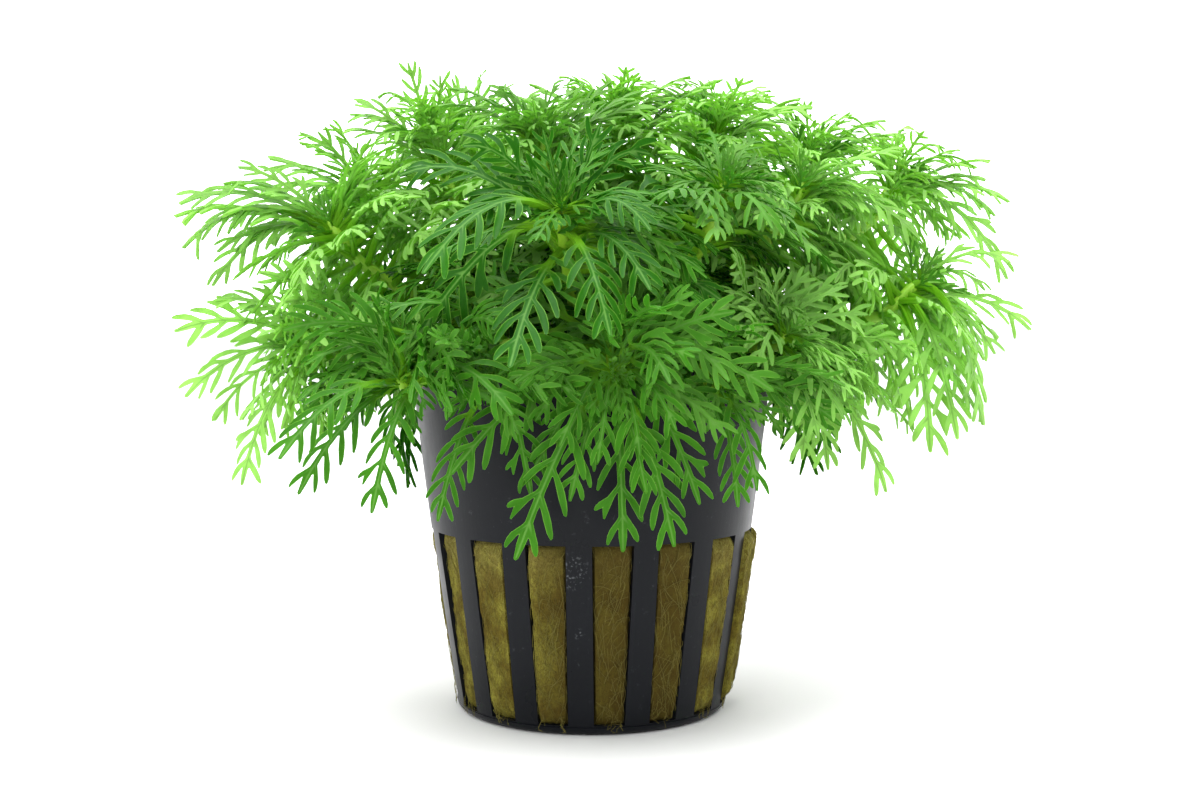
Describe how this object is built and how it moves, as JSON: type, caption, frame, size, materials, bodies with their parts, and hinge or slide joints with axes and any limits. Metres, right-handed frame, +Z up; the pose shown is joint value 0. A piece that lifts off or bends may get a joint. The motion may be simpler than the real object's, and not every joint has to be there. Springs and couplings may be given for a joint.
{
  "type": "potted aquarium plant",
  "caption": "Potted water violet: a dense dome of leafy shoots with comb-like leaves, grown in rock wool in a slotted net pot.",
  "frame": {"origin": "centre of the pot's flat underside, on the surface that the pot stands on", "axes": "+Z up, -Y towards the side that the picture shows, +X to the right of the picture"},
  "size_m": [0.1254, 0.0944, 0.095],
  "materials": {
    "pot_plastic": "dark slate grey moulded plastic, satin, with pale scuffs on the slats",
    "rock_wool": "damp olive brown mineral fibre, matted, with loose strands",
    "stem": "smooth pale yellow-green plant stem, slightly translucent",
    "leaf": "thin green leaf with a paler midrib, soft sheen"
  },
  "bodies": {
    "root": {"leaves_back_high": "leaf", "leaves_back_left": "leaf", "leaves_back_left_low": "leaf", "leaves_back_right": "leaf", "leaves_back_right_low": "leaf", "leaves_front_high": "leaf", "leaves_front_left": "leaf", "leaves_front_left_low": "leaf", "leaves_front_low": "leaf", "leaves_front_right_low": "leaf", "leaves_inner_left": "leaf", "leaves_inner_right": "leaf", "leaves_left_back_high": "leaf", "leaves_left_high": "leaf", "leaves_left_low": "leaf", "leaves_right": "leaf", "leaves_right_back": "leaf", "leaves_right_back_high": "leaf", "leaves_right_front": "leaf", "leaves_right_front_high": "leaf", "leaves_right_high": "leaf", "leaves_right_low": "leaf", "leaves_top": "leaf", "leaves_top_front": "leaf", "leaves_top_left": "leaf", "leaves_top_left_back": "leaf", "leaves_top_right": "leaf", "leaves_top_right_back": "leaf", "pot": "pot_plastic", "rock_wool": "rock_wool", "stem_back_high": "stem", "stem_back_left": "stem", "stem_back_left_low": "stem", "stem_back_right": "stem", "stem_back_right_low": "stem", "stem_front_high": "stem", "stem_front_left": "stem", "stem_front_left_low": "stem", "stem_front_low": "stem", "stem_front_right_low": "stem", "stem_inner_left": "stem", "stem_inner_right": "stem", "stem_left_back_high": "stem", "stem_left_high": "stem", "stem_left_low": "stem", "stem_right": "stem", "stem_right_back": "stem", "stem_right_back_high": "stem", "stem_right_front": "stem", "stem_right_front_high": "stem", "stem_right_high": "stem", "stem_right_low": "stem", "stem_top": "stem", "stem_top_front": "stem", "stem_top_left": "stem", "stem_top_left_back": "stem", "stem_top_right": "stem", "stem_top_right_back": "stem"}
  },
  "joints": []
}
